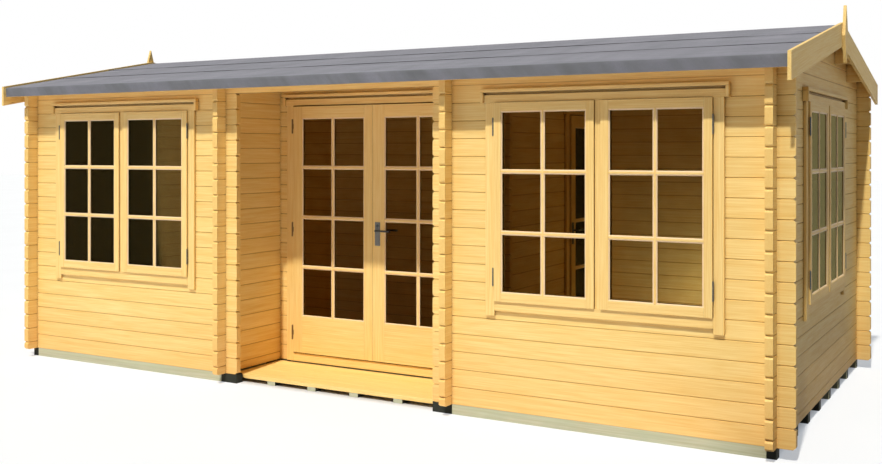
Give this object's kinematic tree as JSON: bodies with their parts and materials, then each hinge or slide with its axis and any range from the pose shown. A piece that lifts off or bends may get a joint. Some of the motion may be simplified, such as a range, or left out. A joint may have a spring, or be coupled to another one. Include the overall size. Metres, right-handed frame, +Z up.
{
  "type": "log cabin",
  "caption": "Garden log cabin with interlocking log walls, a recessed porch with a glazed double door, casement windows and a felted gable roof.",
  "frame": {"origin": "middle of the plan at the underside of the bearers", "axes": "+Z up, X along the house's length, -Y out of the porch"},
  "size_m": [6.23, 3.456, 2.6614],
  "materials": {
    "logs": "planed, untreated spruce",
    "joinery": "planed, untreated spruce",
    "plain_boards": "planed boards",
    "treated_wood": "pressure treated, pale green",
    "roof_felt": "mineral-faced bitumen felt",
    "window_glass": "clear float glass",
    "door_fittings": "dark satin"
  },
  "bodies": {
    "house": {"front_wall_left": "logs", "front_wall_right": "logs", "front_top_log": "logs", "back_wall": "logs", "left_gable_wall": "logs", "right_gable_wall": "logs", "porch_side_wall": "logs", "partition_front": "logs", "partition_rear": "logs", "partition_lintel": "logs", "door_wall_left": "logs", "door_wall_right": "logs", "door_wall_lintel": "logs", "bearers": "treated_wood", "deck_battens": "treated_wood", "porch_deck": "plain_boards", "main_floor": "plain_boards", "right_floor": "plain_boards", "ridge_purlin": "logs", "front_purlins": "logs", "back_purlins": "logs", "roof_boards_front": "plain_boards", "roof_boards_back": "plain_boards", "roof_felt": "roof_felt", "front_eaves_board": "joinery", "back_eaves_board": "joinery", "left_barge_boards": "joinery", "right_barge_boards": "joinery", "left_finial": "joinery", "right_finial": "joinery", "left_window_casing": "joinery", "left_window_sashes": "joinery", "left_window_glass": "window_glass", "right_window_casing": "joinery", "right_window_sashes": "joinery", "right_window_glass": "window_glass", "gable_window_casing": "joinery", "gable_window_sashes": "joinery", "gable_window_glass": "window_glass", "door_casing": "joinery", "frame_hinges": "door_fittings", "inner_door_casing": "joinery", "inner_frame_hinges": "door_fittings"},
    "left_door": {"left_door": "joinery", "left_door_glass": "window_glass", "left_door_hinges": "door_fittings"},
    "right_door": {"right_door": "joinery", "right_door_glass": "window_glass", "right_door_hinges": "door_fittings", "door_plates": "door_fittings"},
    "door_lever": {"door_lever": "door_fittings"},
    "inner_door": {"inner_door": "joinery", "inner_door_glass": "window_glass", "inner_door_hinges": "door_fittings", "inner_door_plates": "door_fittings"},
    "inner_door_lever": {"inner_door_lever": "door_fittings"}
  },
  "joints": [
    {"name": "left_door_swing", "type": "hinge", "parent": "house", "child": "left_door", "pos_m": [-0.774, -0.878, 0.137], "axis": [0, 0, -1], "range_deg": [0, 90]},
    {"name": "right_door_swing", "type": "hinge", "parent": "house", "child": "right_door", "pos_m": [0.72, -0.878, 0.137], "axis": [0, 0, 1], "range_deg": [0, 90]},
    {"name": "door_lever_turn", "type": "hinge", "parent": "right_door", "child": "door_lever", "pos_m": [0.0045, -0.878, 1.107], "axis": [0, 1, 0], "range_deg": [0, 40], "stiffness_Nm_per_rad": 2, "springref_deg": -28.65},
    {"name": "inner_door_swing", "type": "hinge", "parent": "house", "child": "inner_door", "pos_m": [0.999, 1.3075, 0.092], "axis": [0, 0, 1], "range_deg": [0, 90]},
    {"name": "inner_lever_turn", "type": "hinge", "parent": "inner_door", "child": "inner_door_lever", "pos_m": [0.999, 0.502, 1.062], "axis": [-1, 0, 0], "range_deg": [0, 40], "stiffness_Nm_per_rad": 2, "springref_deg": -28.65}
  ]
}
